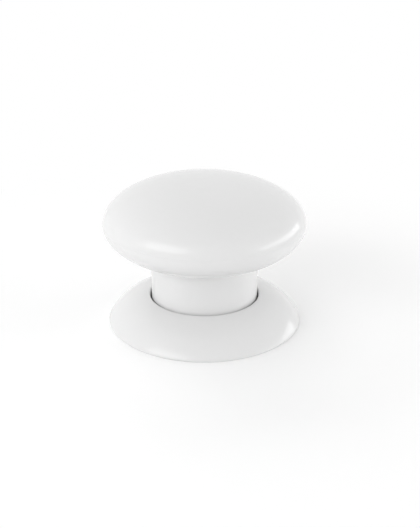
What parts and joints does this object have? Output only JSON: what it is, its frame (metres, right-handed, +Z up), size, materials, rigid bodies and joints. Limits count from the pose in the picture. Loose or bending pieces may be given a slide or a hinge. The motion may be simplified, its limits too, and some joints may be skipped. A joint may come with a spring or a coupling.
{
  "type": "smart button",
  "caption": "Smart wireless press button: white mushroom cap that clicks down on a stem, bayonet-locked in a flared round base, with a cell, board and switches inside.",
  "frame": {"origin": "bottom centre of the base, on the surface that it stands on", "axes": "+Z up, along the stem and the press; the cap and base are round about Z; -Y faces the viewer of the picture"},
  "size_m": [0.046, 0.046, 0.034],
  "materials": {
    "case_white": "smooth gloss white moulding",
    "inner_plastic": "plain light grey moulding",
    "foam_pad": "closed-cell foam with a matt skin",
    "screw_steel": "zinc-plated",
    "spring_strip": "nickel-plated strip",
    "cell_steel": "drawn nickel-plated steel",
    "cell_sleeve": "plain shrunk film",
    "cell_header": "dark sealing glass",
    "board_laminate": "green solder mask",
    "package_black": "moulded package",
    "ferrite_black": "fired ferrite",
    "switch_steel": "stamped steel",
    "plunger_plastic": "natural nylon",
    "crystal_lid": "nickel-plated lid",
    "lamp_white": "clear-filled white package",
    "capacitor_aluminium": "drawn aluminium can",
    "chip_ceramic": "fired ceramic",
    "antenna_brass": "bright stamped strip",
    "spring_wire": "bright spring wire"
  },
  "bodies": {
    "base": {"base_shell": "case_white", "base_plate": "inner_plastic", "base_screws": "screw_steel", "adhesive_pad": "foam_pad"},
    "core": {"core_chassis": "inner_plastic", "bayonet_foot": "inner_plastic", "negative_strip": "spring_strip", "positive_contact": "spring_strip", "battery_can": "cell_steel", "battery_sleeve": "cell_sleeve", "battery_header": "cell_header", "battery_terminal": "cell_steel", "circuit_board": "board_laminate", "board_screws": "screw_steel", "switch_housing_1": "package_black", "switch_housing_2": "package_black", "switch_housing_3": "package_black", "switch_cover_1": "switch_steel", "switch_cover_2": "switch_steel", "switch_cover_3": "switch_steel", "radio_chip": "package_black", "crystal": "crystal_lid", "power_inductor": "ferrite_black", "indicator_led": "lamp_white", "storage_capacitor": "capacitor_aluminium", "chip_passives": "chip_ceramic", "antenna": "antenna_brass", "return_spring": "spring_wire"},
    "cap": {"cap_dome": "case_white", "cap_underside": "case_white"},
    "switch_plungers": {"switch_plunger_1": "plunger_plastic", "switch_plunger_2": "plunger_plastic", "switch_plunger_3": "plunger_plastic"},
    "battery_door": {"battery_cover": "inner_plastic", "negative_contact": "spring_strip"}
  },
  "joints": [
    {"name": "cap_twist", "type": "hinge", "parent": "base", "child": "core", "pos_m": [0, 0, 0], "axis": [0, 0, 1], "range_deg": [0, 32]},
    {"name": "cap_press", "type": "slide", "parent": "core", "child": "cap", "axis": [0, 0, -1], "range_m": [0, 0.001], "stiffness_N_per_m": 600, "springref_m": -0.003, "deforming": ["return_spring"]},
    {"name": "plunger_press", "type": "slide", "parent": "core", "child": "switch_plungers", "axis": [0, 0, -1], "range_m": [0, 0.001]},
    {"name": "battery_cover_turn", "type": "hinge", "parent": "core", "child": "battery_door", "pos_m": [0, 0, 0], "axis": [0, 0, -1], "range_deg": [0, 40]}
  ],
  "couplings": [
    {"joint": "plunger_press", "follows": "cap_press", "ratio": 1}
  ]
}
